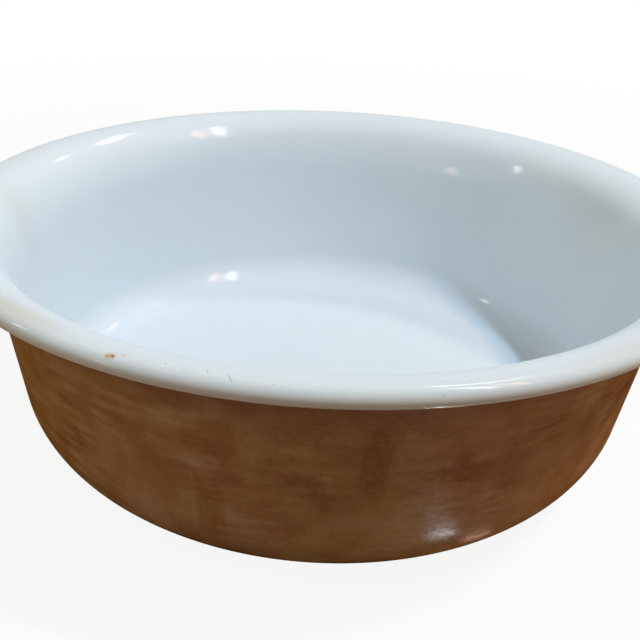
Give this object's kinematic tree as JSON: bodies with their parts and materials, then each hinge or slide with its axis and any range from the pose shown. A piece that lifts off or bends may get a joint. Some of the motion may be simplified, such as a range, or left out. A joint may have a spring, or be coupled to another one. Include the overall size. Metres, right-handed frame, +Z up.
{
  "type": "bowl",
  "caption": "Round open porcelain bowl with an everted, round-edged lip, white glaze inside and a brushed brown glaze outside, standing on a foot ring, for holding or serving food.",
  "frame": {"origin": "centre of the foot ring, on the surface that the bowl stands on", "axes": "+Z up along the axis that the bowl is turned about; X and Y are alike"},
  "size_m": [0.23, 0.23, 0.077],
  "materials": {
    "bare_porcelain": "unglazed, fine biscuit",
    "white_glaze": "glossy bluish white, worn at the lip",
    "brown_glaze": "semi-gloss brown with brush marks"
  },
  "bodies": {
    "root": {"porcelain_body": "bare_porcelain", "white_glaze_lining": "white_glaze", "brown_glaze_coat": "brown_glaze", "base_glaze": "white_glaze"}
  },
  "joints": []
}
